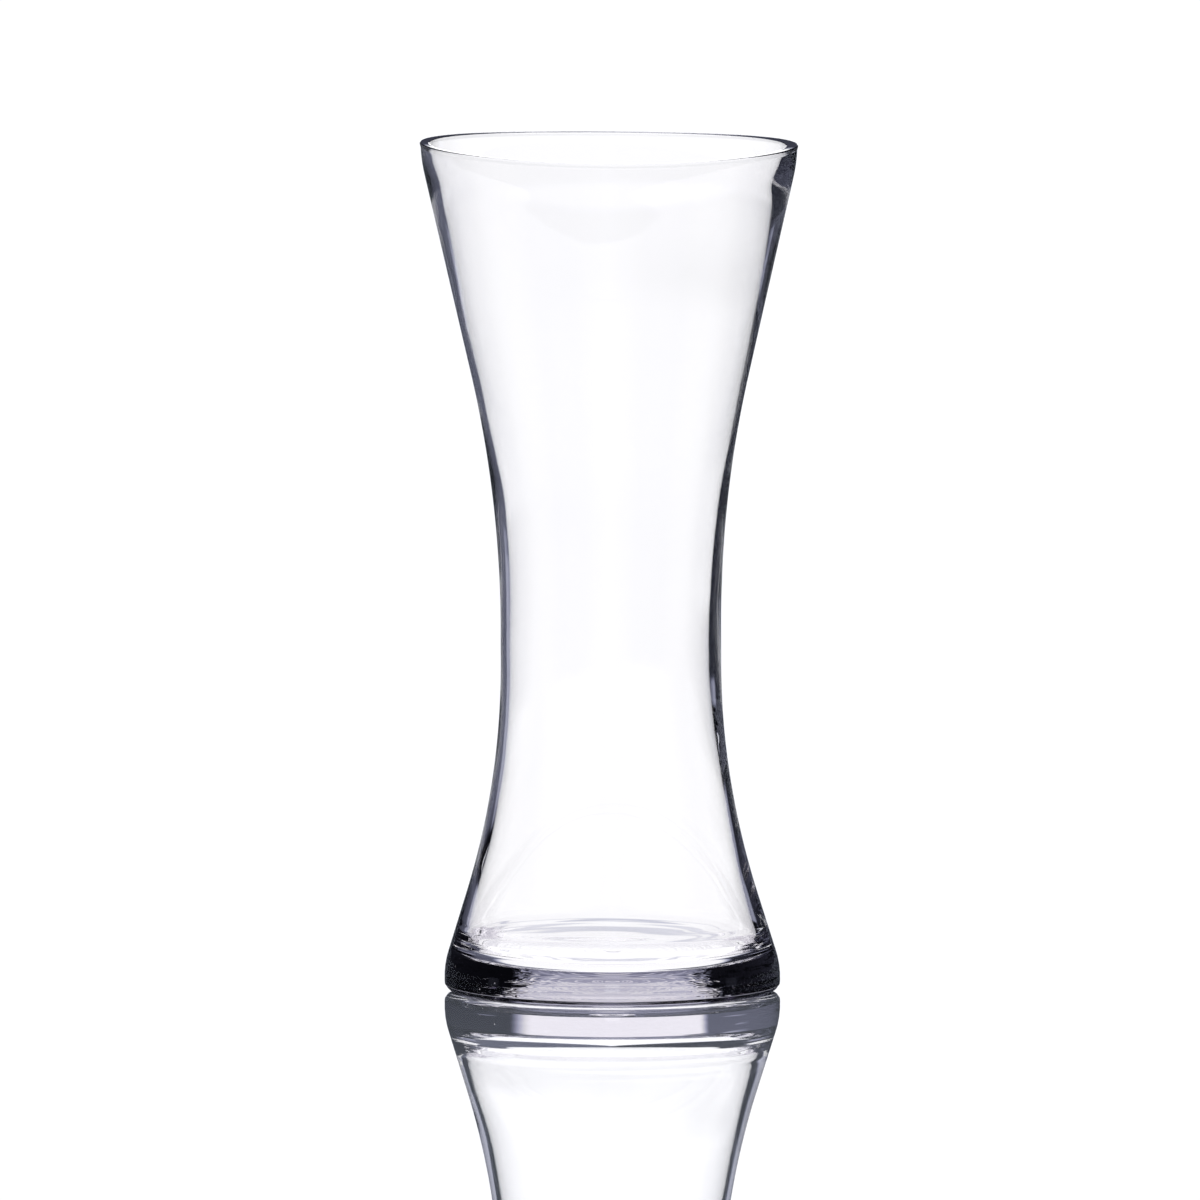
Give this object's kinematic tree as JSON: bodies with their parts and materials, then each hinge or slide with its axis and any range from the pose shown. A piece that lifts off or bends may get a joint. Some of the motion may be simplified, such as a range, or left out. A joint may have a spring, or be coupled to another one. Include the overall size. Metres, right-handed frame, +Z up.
{
  "type": "flower vase",
  "caption": "Clear glass flower vase with a flared mouth, a slim neck and a wide, heavy foot that stands on a flat ring.",
  "frame": {"origin": "centre of the foot, on the surface that the vase stands on", "axes": "+Z up along the vase's axis of revolution; X and Y are level and interchangeable"},
  "size_m": [0.1128, 0.1128, 0.254],
  "materials": {
    "clear_glass": "polished, colourless"
  },
  "bodies": {
    "root": {"glass_vase": "clear_glass"}
  },
  "joints": []
}
